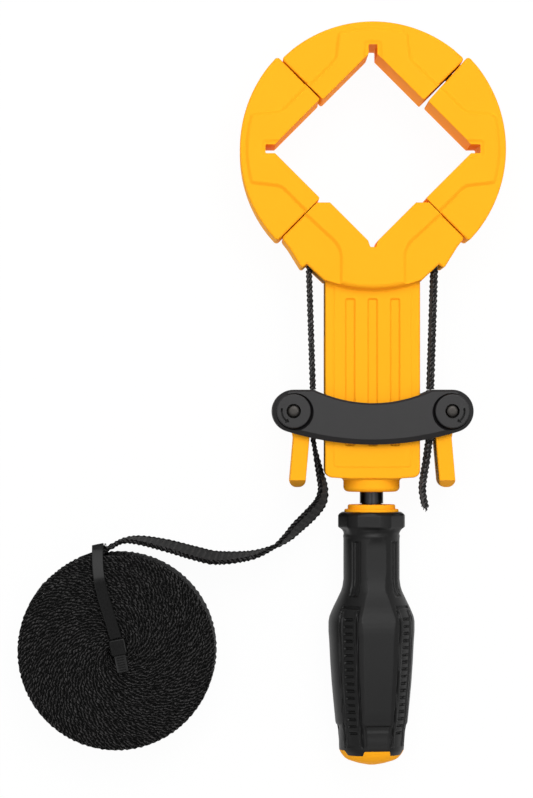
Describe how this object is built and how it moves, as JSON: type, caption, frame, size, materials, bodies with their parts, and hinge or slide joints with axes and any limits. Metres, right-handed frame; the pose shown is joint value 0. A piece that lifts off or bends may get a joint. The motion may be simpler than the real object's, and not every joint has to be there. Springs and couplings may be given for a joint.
{
  "type": "screw-tightened band clamp",
  "caption": "Band clamp: loose and fixed corner jaws on a webbing band, a sliding crossbar with cam levers, and a screw handle that draws the band tight.",
  "frame": {"origin": "on the back face of the fixed jaw, on the centre line just below its notch, where the clamp rests on a bench", "axes": "+X to the clamp's right seen from the front, +Y from the handle to the ring of jaws, +Z out of the front face"},
  "size_m": [0.1974, 0.3021, 0.036],
  "materials": {
    "yellow_plastic": "moulded, satin",
    "black_nylon": "moulded, fine texture",
    "grip_rubber": "soft moulded grip",
    "black_steel": "black oxide",
    "bright_steel": "turned",
    "webbing": "woven polyester",
    "tie_nylon": "glossy moulded"
  },
  "bodies": {
    "body": {"body_frame": "yellow_plastic", "bearing_cap": "yellow_plastic", "thrust_washer": "bright_steel", "band_left_entry": "webbing", "band_right_entry": "webbing", "band_left_strand": "webbing", "band_right_strand": "webbing", "band_coil": "webbing", "tie_strap": "tie_nylon", "tie_head": "tie_nylon"},
    "handle": {"screw_spindle": "black_steel", "handle_core": "yellow_plastic", "handle_grip": "grip_rubber", "handle_end_cap": "yellow_plastic"},
    "crossbar": {"crossbar_front_plate": "black_nylon", "crossbar_rear_plate": "black_nylon", "nut_bar": "bright_steel", "left_anvil": "black_nylon", "right_anvil": "black_nylon", "left_pivot_pin": "bright_steel", "right_pivot_pin": "bright_steel", "band_tail": "webbing", "band_free_run": "webbing"},
    "left_lever": {"left_cam_lever": "yellow_plastic"},
    "right_lever": {"right_cam_lever": "yellow_plastic"},
    "top_jaw": {"top_jaw": "yellow_plastic", "band_in_top_jaw": "webbing"},
    "left_jaw": {"left_jaw": "yellow_plastic", "band_in_left_jaw": "webbing"},
    "right_jaw": {"right_jaw": "yellow_plastic", "band_in_right_jaw": "webbing"}
  },
  "joints": [
    {"name": "handle_turn", "type": "hinge", "parent": "body", "child": "handle", "pos_m": [0, -0.0954, 0.018], "axis": [0, -1, 0], "range_deg": [0, 2880]},
    {"name": "crossbar_slide", "type": "slide", "parent": "body", "child": "crossbar", "axis": [0, 1, 0], "range_m": [0, 0.024], "deforming": ["band_left_strand", "band_right_strand", "band_free_run"]},
    {"name": "left_lever_pivot", "type": "hinge", "parent": "crossbar", "child": "left_lever", "pos_m": [-0.0321, -0.0577, 0.018], "axis": [0, 0, 1], "range_deg": [-90, 0]},
    {"name": "right_lever_pivot", "type": "hinge", "parent": "crossbar", "child": "right_lever", "pos_m": [0.0321, -0.0577, 0.018], "axis": [0, 0, 1], "range_deg": [0, 90]},
    {"name": "top_jaw_slide", "type": "slide", "parent": "body", "child": "top_jaw", "axis": [0, 1, 0], "range_m": [0, 0.01697]},
    {"name": "left_jaw_slide", "type": "slide", "parent": "body", "child": "left_jaw", "axis": [-0.7071, 0.7071, 0], "range_m": [0, 0.012]},
    {"name": "right_jaw_slide", "type": "slide", "parent": "body", "child": "right_jaw", "axis": [0.7071, 0.7071, 0], "range_m": [0, 0.012]}
  ],
  "couplings": [
    {"joint": "handle_turn", "follows": "crossbar_slide", "rad_per_m": 2094.4},
    {"joint": "top_jaw_slide", "follows": "crossbar_slide", "ratio": 0.7071},
    {"joint": "left_jaw_slide", "follows": "crossbar_slide", "ratio": 0.49999},
    {"joint": "right_jaw_slide", "follows": "crossbar_slide", "ratio": 0.49999}
  ]
}
